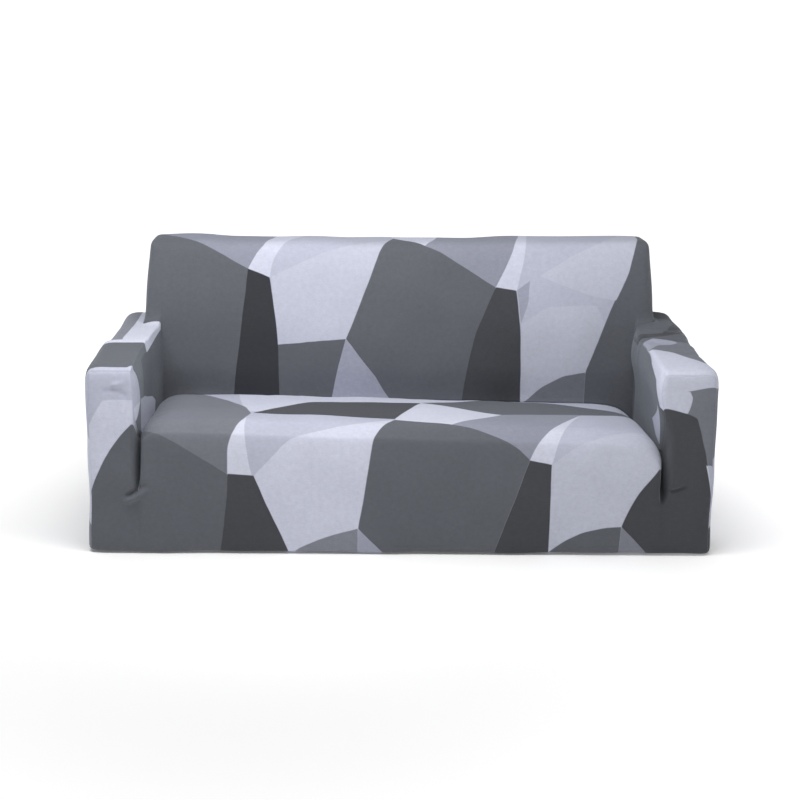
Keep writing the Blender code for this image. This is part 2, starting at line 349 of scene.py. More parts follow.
def armPull(x, y, z, block):
    c, a = cover, armForm
    atSeam = same(block.y, c["armSeam"])
    if same(block.z, c["armTop"]):
        z += a["crown"] * math.sin(math.pi * min(y / c["backFront"], 1) ** a["crownPower"])
        z -= a["seamSink"] * atSeam
    if same(abs(block.x), c["width"] / 2):
        x -= math.copysign(a["seamSink"] * atSeam, x)
    if x > 0:
        return rightPull(x, y, z, block)
    return leftPull(x, z, block), y, z


# the back leans and tapers; its top is a little higher and wider at the ends
backForm = {
    "crown": 0.012,
    "edge": 0.045,
    "nose": 0.006,  # keeps the top corners full
    "right": 0.007,
    "rightRun": 0.45,
    "rightEnd": 0.58,
    "rightMore": 1.6,
    "left": 0.005,
    "leftEnd": 0.60,
    "sides": 0.70,
    "footRise": 0.016,  # where the right end meets the arm
    "footSink": 0.012,  # and the left
}


def backPoint(x, y, z):
    c, b = cover, backForm
    side = 1 if x > 0 else -1
    end, top = same(abs(x), c["backHalf"]), same(z, c["backTop"])
    face, rear = same(y, c["backFront"]), same(y, c["depth"])
    lean = (c["depth"] - y) / (c["depth"] - c["backFront"])
    y += c["backLean"] * (z - c["seat"]) * lean
    if face:
        rise = (z - c["seat"]) / (c["backTop"] - c["seat"])
        y -= b["crown"] * (1 - (x / c["backHalf"]) ** 2) * math.sin(math.pi * rise)
    if past(z, c["armTop"]):
        more = b["rightMore"] if x > b["rightEnd"] else 1
        z += b["right"] * top * min(max(x / b["rightRun"], 0), 1) * more
        z += b["left"] * (top and x < -b["leftEnd"])
        x += b["right"] * (x > b["sides"]) - b["left"] * (x < -b["sides"])
        x -= x / c["backHalf"] * c["backTaper"] * (z - c["armTop"])
        if end and top:
            x, z = x + side * b["nose"], z + b["nose"]
        if end + top + (face or rear) >= 2:
            x -= side * c["corner"] * b["edge"] * end
            z -= c["corner"] * b["edge"] * top
            y += c["corner"] * b["edge"] * (face - rear)
    elif end:
        z += b["footRise"] if side > 0 else -b["footSink"] * (not rear)
    return x, y, z


def shapeCage(cage):
    c = cover
    for vert in cage.verts:
        block = vert.co.copy()
        x, y, z = block
        overSeat = not past(abs(x), c["crease"]) and not past(z, c["seat"])
        overSeat = overSeat and not past(y, c["backFront"]) and (same(y, 0) or same(z, c["seat"]))
        inBack = not past(abs(x), c["backHalf"]) and not past(c["backFront"], y)
        if inBack and past(z, c["seat"]):
            vert.co = backPoint(x, y, z)
        elif overSeat:
            vert.co = seatPoint(x, y, z)
            vert.co.y += slitDepth(x, y, z)
        else:
            vert.co = armPull(*armEdges(x, y, z), block)


def turnHem(cage):
    c = cover
    rim = [edge for edge in cage.edges if edge.is_boundary]
    turned = bmesh.ops.extrude_edge_only(cage, edges=rim)["geom"]
    for item in turned:
        if isinstance(item, bmesh.types.BMVert):
            x, y, z = item.co
            x = max(min(x, c["width"] / 2 - c["hem"]), c["hem"] - c["width"] / 2)
            y = max(min(y, c["depth"] - c["hem"]), c["hem"])
            item.co = (x, y, z + c["hemLift"])
        elif isinstance(item, bmesh.types.BMFace):
            beside = [face for edge in item.edges for face in edge.link_faces]
            walls = [face for face in beside if past(face.calc_center_median().z, 0)]
            item.material_index = walls[0].material_index


cage = blockOut()
for face in cage.faces:
    face.material_index = panelNames.index(panelOf(face))
turnHem(cage)
shapeCage(cage)
bmesh.ops.recalc_face_normals(cage, faces=cage.faces)
cageMesh = bpy.data.meshes.new("cage")
cage.to_mesh(cageMesh)
cage.free()
holder = bpy.data.objects.new("cage", cageMesh)
scene.collection.objects.link(holder)
rounding = holder.modifiers.new("rounding", "SUBSURF")
rounding.levels = rounding.render_levels = cover["rounding"]
rounded = holder.evaluated_get(bpy.context.evaluated_depsgraph_get())
whole = bpy.data.meshes.new_from_object(rounded)
bpy.data.objects.remove(holder, do_unlink=True)
print("cover shaped:", len(whole.polygons), "faces")


def triples(rows, key):
    values = np.empty(len(rows) * 3)
    rows.foreach_get(key, values)
    return values.reshape(-1, 3)


def soften(share):
    share = np.clip(share, 0, 1)
    return share * share * (3 - 2 * share)


# creases laid in one by one: a soft ridge where height is positive, a trough where it is not
front, up = (0, -1, 0), (0, 0, 1)
creases = [
    # the lip under the left slit, and the trough above it
    {"from": (-0.750, 0, 0.148), "to": (-0.698, 0, 0.181), "width": 0.0075, "height": 0.0130,
     "facing": front, "sag": 0.002},
    {"from": (-0.746, 0, 0.165), "to": (-0.700, 0, 0.194), "width": 0.007, "height": -0.0110,
     "facing": front, "sag": 0.002},
    # the short crease beside the right slit
    {"from": (0.724, 0, 0.184), "to": (0.775, 0, 0.197), "width": 0.006, "height": -0.0065,
     "facing": front, "sag": 0.003},
    {"from": (0.724, 0, 0.194), "to": (0.772, 0, 0.207), "width": 0.005, "height": 0.0028,
     "facing": front, "sag": 0.003},
    # the small pinch high on the left arm's front
    {"from": (-0.800, 0, 0.455), "to": (-0.748, 0, 0.446), "width": 0.008, "height": -0.0040,
     "facing": front, "sag": -0.010},
    {"from": (-0.779, 0, 0.473), "to": (-0.764, 0, 0.478), "width": 0.006, "height": 0.0050,
     "facing": front},
    # a soft upright swell inward of it
    {"from": (-0.735, 0, 0.485), "to": (-0.739, 0, 0.350), "width": 0.008, "height": 0.0020,
     "facing": front},
    # the rolled shoulder beside the left slit and the pit under it
    {"from": (-0.700, 0.03, 0.354), "to": (-0.640, 0.05, 0.380), "width": 0.008,
     "height": 0.0035, "facing": (0, -0.7, 0.7), "sag": -0.004},
    {"from": (-0.708, 0.01, 0.330), "to": (-0.672, 0.01, 0.350), "width": 0.008,
     "height": -0.0035, "facing": (0, -0.9, 0.4)},
    {"from": (-0.710, 0.05, 0.352), "to": (-0.655, 0.13, 0.374), "width": 0.009,
     "height": -0.002, "facing": up},
    # faint ripples along the front of the deck
    {"from": (-0.330, 0.070, 0.366), "to": (-0.280, 0.056, 0.366), "width": 0.005,
     "height": -0.0012, "facing": (0, -0.4, 0.9)},
    {"from": (-0.215, 0.068, 0.366), "to": (-0.110, 0.056, 0.366), "width": 0.005,
     "height": -0.0014, "facing": (0, -0.4, 0.9)},
    # the roll of cloth pushed up along the foot of the back
    {"from": (-0.290, 0.485, 0.330), "to": (0.000, 0.500, 0.328), "width": 0.016,
     "height": 0.0045, "facing": up},
    # the right arm's rolled fold, the trough before it, and its end on the inner side
    {"from": (0.822, 0.272, 0.528), "to": (0.700, 0.385, 0.530), "width": 0.013, "height": 0.009,
     "facing": up},
    {"from": (0.850, 0.185, 0.528), "to": (0.695, 0.268, 0.528), "width": 0.014,
     "height": -0.006, "facing": up},
    {"from": (0.700, 0.385, 0.520), "to": (0.700, 0.390, 0.450), "width": 0.020, "height": 0.003,
     "facing": (-1, 0, 0)},
    # the bunched cloth behind it
    {"from": (0.830, 0.430, 0.530), "to": (0.730, 0.480, 0.540), "width": 0.020, "height": 0.006,
     "facing": up},
    {"from": (0.845, 0.520, 0.530), "to": (0.760, 0.500, 0.540), "width": 0.018,
     "height": -0.005, "facing": up},
    # and the soft ridge across the left arm at its seam
    {"from": (-0.845, 0.300, 0.525), "to": (-0.715, 0.300, 0.530), "width": 0.018,
     "height": 0.004, "facing": up, "open": True},
]

# short pulls where the cloth is pushed in beside and behind the seat: place along, length, depth
sidePulls = {
    "left": [(0.10, 0.045, 0.0016), (0.17, 0.060, 0.0020), (0.26, 0.040, 0.0013),
             (0.33, 0.055, 0.0018), (0.45, 0.045, 0.0015)],
    "right": [(0.13, 0.070, 0.0022), (0.21, 0.050, 0.0016), (0.31, 0.060, 0.0020),
              (0.40, 0.045, 0.0014), (0.48, 0.050, 0.0016)],
    "foot": 0.712,
    "drop": 0.02,
    "over": 0.66,
    "slant": 0.35,
    "width": 0.011,
}
backPulls = {
    "all": [(-0.60, 0.05, 0.0014), (-0.41, 0.06, 0.0018), (-0.20, 0.04, 0.0012),
            (0.03, 0.055, 0.0016), (0.24, 0.05, 0.0014), (0.47, 0.06, 0.0018),
            (0.61, 0.045, 0.0014)],
    "foot": 0.548,
    "rise": 0.004,
    "over": 0.52,
    "slant": 0.3,
    "width": 0.013,
}

# the uneven fullness of the padding under the cloth: waves per metre and height
swells = [
    {"wave": (3.1, 1.7, 0.6), "shift": 0.4, "height": 0.0011},
    {"wave": (-1.9, 4.3, 1.1), "shift": 1.9, "height": 0.0009},
    {"wave": (5.2, 0.8, -3.4), "shift": 2.6, "height": 0.0007},
    {"wave": (1.3, -2.2, 5.6), "shift": 4.1, "height": 0.0009},
]

creaseSet = {
    "seenFrom": 0.1,  # a crease shows only on faces that look its way
    "seenOver": 0.4,
    "ends": 0.35,  # share of the height left at its ends
    "inset": 0.12,
}


def layCrease(places, normals, crease):
    c = creaseSet
    start = np.array(crease["from"])
    along = np.array(crease["to"]) - start
    length = np.linalg.norm(along)
    share = np.clip((places - start) @ along / length**2, 0, 1)
    line = start + share[:, None] * along
    line[:, 2] -= crease.get("sag", 0) * np.sin(np.pi * share)
    distance = np.linalg.norm(places - line, axis=1)
    across = np.exp(-((distance / crease["width"]) ** 2))
    way = np.array(crease["facing"]) / np.linalg.norm(crease["facing"])
    seen = soften((normals @ way - c["seenFrom"]) / c["seenOver"])
    fade = np.sin(np.pi * (c["inset"] + (1 - 2 * c["inset"]) * share))
    fade = 1 if crease.get("open") else c["ends"] + (1 - c["ends"]) * fade
    return (crease["height"] * across * seen * fade)[:, None] * way


points, normals = triples(whole.vertices, "co"), triples(whole.vertex_normals, "vector")
shift = np.zeros_like(points)
for crease in creases:
    shift += layCrease(points, normals, crease)
pulls = sidePulls
for side, sign in (("left", -1), ("right", 1)):
    for place, reach, depth in pulls[side]:
        level = deckLevel(sign * pulls["over"], place)
        shift += layCrease(points, normals, {
            "from": (sign * pulls["foot"], place, level - pulls["drop"]),
            "to": (sign * (pulls["foot"] - reach), place + pulls["slant"] * reach, level),
            "width": pulls["width"], "height": -depth, "facing": up})
pulls = backPulls
for place, reach, depth in pulls["all"]:
    level = deckLevel(place, pulls["over"])
    shift += layCrease(points, normals, {
        "from": (place, pulls["foot"], level),
        "to": (place + pulls["slant"] * reach, pulls["foot"] - reach, level + pulls["rise"]),
        "width": pulls["width"], "height": -depth, "facing": up})
lift = np.zeros(len(points))
for swell in swells:
    wave = points @ np.array(swell["wave"]) + swell["shift"]
    lift += swell["height"] * np.sin(2 * np.pi * wave)

# seams sink a little; their distance also goes to the cloth's material
seamSet = {"width": 0.006, "depth": 0.0001, "reach": 0.05}
seamVerts = set()
walls = {}
for polygon in whole.polygons:
    for key in polygon.edge_keys:
        walls.setdefault(key, []).append(polygon.material_index)
for key, sides in walls.items():
    if len(set(sides)) > 1:
        seamVerts.update(key)
tree = kdtree.KDTree(len(seamVerts))
for number in seamVerts:
    tree.insert(points[number], number)
tree.balance()
nearest = np.full(len(points), seamSet["reach"])
for number, place in enumerate(points):
    nearest[number] = min(tree.find(place)[2], seamSet["reach"])
lift -= seamSet["depth"] * np.clip(1 - nearest / seamSet["width"], 0, 1) ** 2
points += shift + normals * lift[:, None]

# the origin is under the cloth on top of the back, where the cover hangs
topMiddle = (cover["depth"] + cover["backFront"]) / 2
topMiddle += cover["backLean"] * (cover["backTop"] - cover["seat"]) / 2
hold = np.array([0, topMiddle, cover["backTop"] - cover["cloth"]])
whole.vertices.foreach_set("co", (points - hold).ravel())
seamNear = whole.attributes.new("seamDistance", "FLOAT", "POINT")
seamNear.data.foreach_set("value", nearest)
whole.update()
print("creases and seams laid in")


# flat coordinates of the cloth in metres
flatSet = {"endFacing": 0.7, "armLevel": 0.505, "armReach": 0.07}


def unrolled(name, places, out):
    x, y, z = places.T
    across, side = np.abs(x), np.sign(x)
    if name == "seatFront":
        return x, z + np.maximum(y, 0)
    if name == "outsideBack":
        return -x, z
    if name == "insideBack":
        behind = np.maximum(y - cover["backFront"] - cover["backLean"] * (z - cover["seat"]), 0)
        atEnd = np.abs(out[:, 0]) > flatSet["endFacing"]
        return np.where(atEnd, x + side * behind, x), np.where(atEnd, z, z + behind)
    depth = np.maximum(flatSet["armLevel"] - z, 0)
    top = cover["width"] / 2 - across
    return y, np.where(top > flatSet["armReach"], top + depth, top - depth)


# the print, with a few patches of painted shade: patches in the order they lie, with their corners
# in metres on the unrolled cloth; where there is a third item, it says how far the edge from a
# numbered corner bulges out or, where it is negative, in
seatPrint = [
    ("pale", [(-0.88, 0.10), (-0.728, 0.10), (-0.728, 0.433), (-0.79, 0.435), (-0.81, 0.43),
        (-0.83, 0.40), (-0.88, 0.31)]),
    # a dark ink strip in the left slit; it stands for the shade deep inside it (painted shade)
    ("ink", [(-0.7275, 0.16), (-0.69, 0.16), (-0.69, 0.415), (-0.7215, 0.415), (-0.7275, 0.36)]),
    ("pale", [(-0.44, 0.52), (-0.30, 0.55), (0.33, 0.70), (0.33, 0.96), (-0.50, 0.96)]),
    ("stone", [(-0.715, 0.37), (-0.475, 0.23), (-0.42, 0.50), (-0.44, 0.58), (-0.50, 0.70),
        (-0.715, 0.96)]),
    ("white", [(-0.475, 0.23), (-0.41, 0.225), (-0.42, 0.49), (-0.445, 0.405), (-0.465, 0.365),
        (-0.475, 0.33)], {1: -0.014}),
    ("slate", [(-0.44, -0.05), (-0.47, 0.20), (-0.475, 0.23), (-0.72, 0.378), (-0.745, 0.355),
        (-0.775, 0.32), (-0.805, 0.275), (-0.84, 0.205), (-0.86, 0.16), (-0.90, 0.065),
        (-0.90, -0.05)]),
    ("ink", [(-0.475, 0.23), (-0.51, -0.05), (-0.285, -0.05), (-0.405, 0.225)], {0: -0.006}),
    ("ink", [(-0.415, 0.505), (-0.02, 0.462), (0.06, 0.70), (-0.20, 0.695), (-0.26, 0.67),
        (-0.315, 0.62), (-0.37, 0.565)]),
    ("pale", [(-0.405, 0.225), (-0.285, -0.05), (-0.05, -0.05), (-0.02, 0.45), (-0.19, 0.384),
        (-0.27, 0.352), (-0.31, 0.328), (-0.35, 0.285)]),
    ("mid", [(-0.12, 0.075), (-0.18, 0.059), (-0.235, 0.038), (-0.29, 0.012), (-0.38, -0.05),
        (-0.12, -0.05)]),
    ("white", [(-0.02, 0.47), (-0.02, 0.445), (0.14, 0.41), (0.285, 0.55), (0.063, 0.70)]),
    ("slate", [(0.06, 0.703), (0.285, 0.549), (0.518, 0.57), (0.72, 0.63), (0.32, 0.84)]),
    ("dusk", [(0.13, 0.405), (0.34, 0.26), (0.518, 0.572), (0.285, 0.55)]),
    ("slate", [(-0.12, 0.075), (0.0, -0.05), (0.235, -0.05), (0.347, 0.272), (0.32, 0.30),
        (0.255, 0.35), (0.187, 0.39), (0.13, 0.412), (-0.02, 0.455), (-0.065, 0.375),
        (-0.08, 0.335), (-0.09, 0.27)]),
    ("haze", [(-0.12, 0.075), (-0.12, -0.05), (0.0, -0.05)]),
    ("ink", [(0.347, 0.272), (0.235, -0.05), (0.407, -0.05), (0.407, 0.26)]),
    ("white", [(0.347, 0.272), (0.407, 0.26), (0.517, 0.575), (0.41, 0.396), (0.37, 0.326)],
     {1: -0.008}),
    # a darker copy of the pale print on the right of the seat's front, as painted shade
    ("pearl", [(0.407, -0.05), (0.73, -0.05), (0.73, 0.418), (0.66, 0.402), (0.597, 0.377),
        (0.527, 0.343), (0.465, 0.306), (0.407, 0.26)]),
    ("slate", [(0.605, 0.084), (0.56, 0.081), (0.505, 0.068), (0.45, 0.041), (0.41, 0.013),
        (0.33, -0.05), (0.598, -0.05)]),
    ("mid", [(0.605, 0.084), (0.598, -0.05), (0.73, -0.05)]),
    ("ink", [(0.605, 0.084), (0.73, -0.05), (0.73, 0.285), (0.707, 0.256), (0.677, 0.222),
        (0.65, 0.185), (0.623, 0.133)]),
    # a dark ink strip down the right slit; it stands for the shade inside it (painted shade)
    ("ink", [(0.7125, -0.05), (0.735, -0.05), (0.735, 0.44), (0.718, 0.44), (0.7125, 0.34)]),
    ("stone", [(0.765, 0.26), (0.90, 0.26), (0.90, 0.50), (0.765, 0.47)]),
    # darker copies of the pale print high on the right arm's front, as painted shade
    ("pearl", [(0.69, 0.42), (0.77, 0.405), (0.778, 0.4225), (0.783, 0.45), (0.7745, 0.468),
        (0.67, 0.468)]),
    ("pearl", [(0.67, 0.46), (0.7745, 0.468), (0.845, 0.483), (0.90, 0.495), (0.90, 0.62),
        (0.66, 0.62)]),
    ("ink", [(0.722, 0.28), (0.833, 0.262), (0.826, 0.306), (0.81, 0.355), (0.799, 0.392),
        (0.77, 0.408), (0.716, 0.42), (0.68, 0.43)]),
    ("ink", [(0.722, -0.05), (0.90, -0.05), (0.87, 0.10), (0.846, 0.197), (0.83, 0.285),
        (0.722, 0.285)]),
    ("mist", [(0.834, 0.262), (0.846, 0.197), (0.87, 0.10), (0.90, 0.07), (0.90, 0.266)]),
]
backPrint = [
    ("slate", [(-0.50, 0.15), (-0.455, 0.685), (-0.455, 1.1), (-1.1, 1.1), (-1.1, 0.15)]),
    # a darker copy of the pale print on the back, as painted shade
    ("pearl", [(-0.37, 0.46), (-0.10, 0.46), (-0.02, 0.80), (-0.04, 0.82), (-0.16, 0.767),
        (-0.395, 0.66), (-0.38, 0.56)]),
    ("slate", [(-0.378, 0.462), (-0.375, 0.15), (-0.246, 0.15), (-0.163, 0.482)]),
    # a darker copy of ink on the back's left strip: painted shade
    ("coal", [(-0.52, 0.15), (-0.36, 0.15), (-0.367, 0.45), (-0.375, 0.54), (-0.395, 0.66),
        (-0.46, 0.685)]),
    ("haze", [(-0.246, 0.15), (0.10, 0.15), (-0.034, 0.32), (-0.163, 0.482)]),
    ("slate", [(-0.163, 0.482), (-0.034, 0.318), (0.10, 0.15), (0.155, 0.15), (0.29, 0.637),
        (0.02, 0.86), (-0.02, 0.86)], {6: -0.004}),
    ("pale", [(-0.46, 0.685), (-0.395, 0.66), (-0.30, 0.80), (-0.15, 1.1), (-0.46, 1.1)]),
    ("mist", [(-0.395, 0.66), (-0.16, 0.765), (-0.09, 0.81), (-0.03, 0.865), (0.06, 1.1),
        (-0.18, 1.1), (-0.31, 0.86), (-0.35, 0.78), (-0.37, 0.74), (-0.387, 0.70)], {0: -0.006}),
    ("dusk", [(-0.46, 0.685), (-0.415, 0.76), (-0.385, 0.86), (-0.36, 1.1), (-0.85, 1.1),
        (-0.75, 0.90), (-0.65, 0.80), (-0.60, 0.765), (-0.545, 0.73)]),
    ("pale", [(0.29, 0.637), (0.354, 0.628), (0.375, 0.706), (0.39, 0.84), (0.41, 1.1),
        (0.33, 1.1)]),
    ("dusk", [(0.075, 0.765), (0.29, 0.637), (0.316, 0.683), (0.34, 0.737), (0.365, 0.857),
        (0.385, 1.1), (0.05, 1.1)]),
    ("pale", [(0.075, 0.765), (0.10, 0.81), (0.16, 1.1), (-0.08, 1.1), (-0.02, 0.86),
        (0.015, 0.825)]),
    # a darker copy of the pale print low on the back's right, as painted shade
    ("pearl", [(0.36, 0.15), (0.66, 0.15), (0.66, 0.45), (0.60, 0.585), (0.45, 0.58),
        (0.37, 0.53)]),
    ("ink", [(0.352, 0.627), (0.29, 0.637), (0.23, 0.50), (0.21, 0.42), (0.19, 0.31),
        (0.165, 0.15), (0.37, 0.15), (0.368, 0.508)]),
    ("haze", [(0.354, 0.628), (0.368, 0.53), (0.39, 0.595), (0.394, 0.656)]),
    ("stone", [(0.37, 0.30), (0.37, 0.15), (0.56, 0.15), (0.565, 0.385), (0.50, 0.375),
        (0.43, 0.345)]),
    ("slate", [(0.565, 0.385), (0.56, 0.15), (1.1, 0.15), (1.1, 0.61), (0.658, 0.61)]),
    ("slate", [(0.655, 0.59), (1.1, 0.59), (1.1, 1.1), (0.745, 1.1)]),
    # a darker copy of the pale print high on the back's right, as painted shade
    ("pearl", [(0.424, 0.67), (0.51, 0.637), (0.60, 0.608), (0.657, 0.60), (0.675, 0.635),
        (0.6985, 0.69), (0.71, 0.738), (0.725, 0.80), (0.748, 1.1), (0.60, 1.1)]),
    ("mist", [(0.424, 0.67), (0.61, 0.783), (0.668, 0.87), (0.70, 1.1), (0.42, 1.1),
        (0.40, 0.80)]),
]
leftArmPrint = [
    # ink over the inner side, darker than its slate print, as painted shade
    ("ink", [(0.17, 0.135), (0.40, 0.135), (0.40, 0.9), (0.17, 0.9)]),
    ("mist", [(-0.1, -0.03), (0.02, -0.03), (0.021, 0.118), (0.018, 0.135), (-0.1, 0.135)]),
    ("mist", [(-0.1, 0.10), (0.010, 0.105), (0.042, 0.137), (0.060, 0.162), (0.077, 0.190),
        (0.088, 0.220), (0.092, 0.238), (-0.1, 0.224)]),
    ("pale", [(-0.1, 0.222), (0.093, 0.237), (0.055, 0.26), (-0.1, 0.33)]),
    ("mist", [(0.105, 0.236), (0.21, 0.25), (0.335, 0.283), (0.46, 0.33), (0.46, 0.9),
        (0.105, 0.9)]),
    ("white", [(0.275, -0.02), (0.40, -0.02), (0.40, 0.138), (0.275, 0.138)]),
    ("mist", [(-0.1, -0.20), (-0.1, -0.03), (0.06, -0.02), (0.14, -0.15)]),
    ("pale", [(-0.1, -0.50), (0.16, -0.34), (0.14, -0.14), (-0.1, -0.20)]),
    ("slate", [(0.16, -0.34), (0.36, -0.44), (0.40, -0.06), (0.14, -0.14)]),
    ("mid", [(-0.1, -0.60), (0.36, -0.60), (0.36, -0.42), (0.16, -0.34), (-0.1, -0.48)]),
]
leftRearPrint = [
    ("white", [(0.2, 0.058), (0.9, 0.06), (0.9, 0.17), (0.2, 0.17)]),
    # ink over the inner side, as painted shade
    ("ink", [(0.2, 0.138), (0.9, 0.138), (0.9, 0.9), (0.2, 0.9)]),
    ("mist", [(0.2, 0.245), (0.335, 0.283), (0.395, 0.314), (0.37, 0.36), (0.2, 0.36)]),
    ("slate", [(0.2, -0.6), (0.52, -0.6), (0.47, -0.26), (0.36, -0.10), (0.2, -0.08)]),
    ("pale", [(0.47, -0.26), (0.62, -0.33), (0.82, -0.22), (0.60, -0.02), (0.44, -0.03),
        (0.36, -0.10)]),
    ("ink", [(0.52, -0.6), (0.70, -0.6), (0.62, -0.33), (0.47, -0.26)]),
    ("mid", [(0.70, -0.6), (0.9, -0.6), (0.9, -0.20), (0.82, -0.22), (0.62, -0.33)]),
]
rightArmPrint = [
    # on the top, this darker wedge before the roll is painted shade of the trough; on the outer
    # side it is the printed stone
    ("stone", [(0.045, -0.06), (0.42, -0.06), (0.42, 0.112), (0.232, 0.112), (0.19, 0.09),
        (0.09, 0.036)]),
    ("stone", [(0.232, 0.10), (0.36, 0.10), (0.36, 0.16), (0.24, 0.158)]),
    ("slate", [(0.345, -0.06), (0.46, -0.06), (0.46, 0.17), (0.345, 0.17)]),
    ("haze", [(0.2945, 0.130), (0.2935, 0.070), (0.336, 0.088), (0.360, 0.10), (0.360, 0.130)]),
    ("haze", [(0.298, 0.115), (0.360, 0.115), (0.345, 0.175), (0.235, 0.175), (0.2476, 0.161)]),
    ("slate", [(0.235, 0.159), (0.6, 0.159), (0.6, 0.9), (0.03, 0.9), (0.03, 0.238), (0.04, 0.218),
        (0.065, 0.188), (0.16, 0.163)]),
    ("ink", [(-0.1, 0.236), (0.058, 0.25), (0.09, 0.335), (0.09, 0.9), (-0.1, 0.9)]),
    ("mist", [(0.059, 0.25), (0.20, 0.312), (0.15, 0.345), (0.088, 0.355)]),
    ("stone", [(-0.1, -0.24), (-0.1, -0.022), (0.04, -0.022), (0.11, -0.20)]),
    ("mist", [(-0.1, -0.42), (0.14, -0.44), (0.11, -0.20), (-0.1, -0.24)]),
    ("ink", [(-0.1, -0.6), (0.20, -0.6), (0.14, -0.44), (-0.1, -0.40)]),
    ("pale", [(0.20, -0.6), (0.45, -0.6), (0.45, -0.22), (0.11, -0.20), (0.14, -0.44)]),
]
rightRearPrint = [
    ("slate", [(0.45, 0.16), (0.445, 0.115), (0.443, 0.085), (0.588, 0.029), (0.66, 0.03),
        (0.66, 0.16)]),
    ("slate", [(0.2, -0.10), (0.46, -0.10), (0.42, 0.09), (0.40, 0.17), (0.2, 0.17)]),
    ("slate", [(0.2, 0.165), (0.9, 0.165), (0.9, 0.9), (0.2, 0.9)]),
    ("pale", [(0.2, -0.48), (0.42, -0.40), (0.44, -0.22), (0.2, -0.18)]),
    ("mid", [(0.42, -0.40), (0.66, -0.30), (0.62, -0.06), (0.44, -0.22)]),
    ("ink", [(0.2, -0.6), (0.50, -0.6), (0.42, -0.40), (0.2, -0.48)]),
    ("white", [(0.66, -0.30), (0.9, -0.28), (0.9, -0.12), (0.62, -0.06)]),
    ("mist", [(0.50, -0.6), (0.9, -0.6), (0.9, -0.28), (0.66, -0.30), (0.42, -0.40)]),
]
prints = {
    "seatFront": ("mist", seatPrint),
    "insideBack": ("mist", backPrint),
    "outsideBack": ("mist", seatPrint),
    "leftArm": ("slate", leftArmPrint),
    "rightArm": ("pale", rightArmPrint),
    "leftArmRear": ("mid", leftRearPrint),
    "rightArmRear": ("ink", rightRearPrint),
}

# dye tones, and two darker copies of ink and pale that stand for shade (painted shade)
tones = {
    # a darker copy of ink that paints shade in
    "coal": (0.036, 0.038, 0.044),
    "ink": (0.058, 0.060, 0.068),
    "slate": (0.108, 0.115, 0.131),
    "stone": (0.165, 0.172, 0.200),
    "mid": (0.210, 0.217, 0.255),
    "dusk": (0.255, 0.265, 0.325),
    "haze": (0.315, 0.327, 0.402),
    "mist": (0.440, 0.455, 0.550),
    # a darker copy of pale that paints shade in
    "pearl": (0.485, 0.500, 0.590),
    "pale": (0.555, 0.570, 0.675),
    "white": (0.580, 0.595, 0.695),
}

# print, dye, knit and stitching; each noise is scale, detail, roughness and strength
cloth = {
    "edge": 0.0022,  # width over which two tones run into each other
    "round": 0.005,  # how far a patch's corners are rounded
    "drift": 0.0030,  # how far the printed edges wander
    "wander": (9, 2, 0.5),
    "clouds": (7, 4, 0.6, 0.16),
    "mottle": (70, 3, 0.75, 0.30),
    "heather": (420, 3, 0.7, 0.30),
    "streaks": (1, 2, 0.6, 0.16),
    "streakScale": (60, 420, 1),
    "fuzz": (1500, 2, 0.7, 0.00005),
    "ripples": (14, 3, 0.45, 0.0005),
    "wale": 0.0015,  # pitch of the knit's columns
    "course": 0.0012,  # and of its rows
    "knitHeight": 0.00007,
    "rowShare": 0.6,
    "weaving": 0.7,
    "grooveWidth": 0.0016,
    "grooveDepth": 0.0001,
    "grooveDark": 0.02,
    "stitch": 0.0036,
    "hemLine": 0.024,  # height of the twin row over the hem
    "twinGap": 0.0025,
    "twinWidth": 0.0011,
    "twinDepth": 0.00035,
    "twinDark": 0.10,
    "rough": 0.86,
    "roughSpread": 0.12,
    "sheen": 0.22,
    "sheenTint": (0.82, 0.90, 1.0),
    "sheenRough": 0.45,
    "specular": 0.22,
    "thickness": 0.0018,
}
reverseSet = {
    "tone": (0.42, 0.43, 0.46),
    "clouds": (12, 4, 0.6),
    "cloudRange": (0.24, 0.86),
    "grain": (500, 3, 0.7, 0.30),
    "rough": 0.92,
    "specular": 0.2,
    "sheen": 0.2,
}


def addNode(tree, kind, settings=None, inputs=None):
    node = tree.nodes.new(kind)
    for key, value in (settings or {}).items():
        setattr(node, key, value)
    for key, value in (inputs or {}).items():
        if isinstance(value, bpy.types.NodeSocket):
            tree.links.new(value, node.inputs[key])
        else:
            node.inputs[key].default_value = value
    return node


def doMath(tree, operation, *values, clamp=False):
    settings = {"operation": operation, "use_clamp": clamp}
    return addNode(tree, "ShaderNodeMath", settings, dict(enumerate(values))).outputs[0]


def doVector(tree, operation, a, b, out="Vector"):
    node = addNode(tree, "ShaderNodeVectorMath", {"operation": operation}, {0: a, 1: b})
    return node.outputs[out]


def noise(tree, vector, values, out="Fac"):
    scale, detail, rough = values[:3]
    inputs = {"Vector": vector, "Scale": scale, "Detail": detail, "Roughness": rough}
    return addNode(tree, "ShaderNodeTexNoise", {}, inputs).outputs[out]


# noise about one, as strong as its last value says
def uneven(tree, vector, values):
    strength = values[3]
    return doMath(tree, "MULTIPLY_ADD", noise(tree, vector, values), strength, 1 - strength / 2)


def greyOf(tree, value):
    return addNode(tree, "ShaderNodeCombineColor", {}, {0: value, 1: value, 2: value}).outputs[0]


# how far round a wave of this pitch a place is
def phase(tree, place, pitch):
    return doMath(tree, "MULTIPLY", place, 2 * math.pi / pitch)


def blend(tree, kind, factor, a, b):
    settings = {"data_type": "RGBA", "blend_type": kind}
    return addNode(tree, "ShaderNodeMix", settings, {0: factor, 6: a, 7: b}).outputs[2]


def bumpOf(tree, height):
    inputs = {"Height": height, "Distance": 1.0, "Strength": 1.0}
    return addNode(tree, "ShaderNodeBump", {}, inputs).outputs[0]


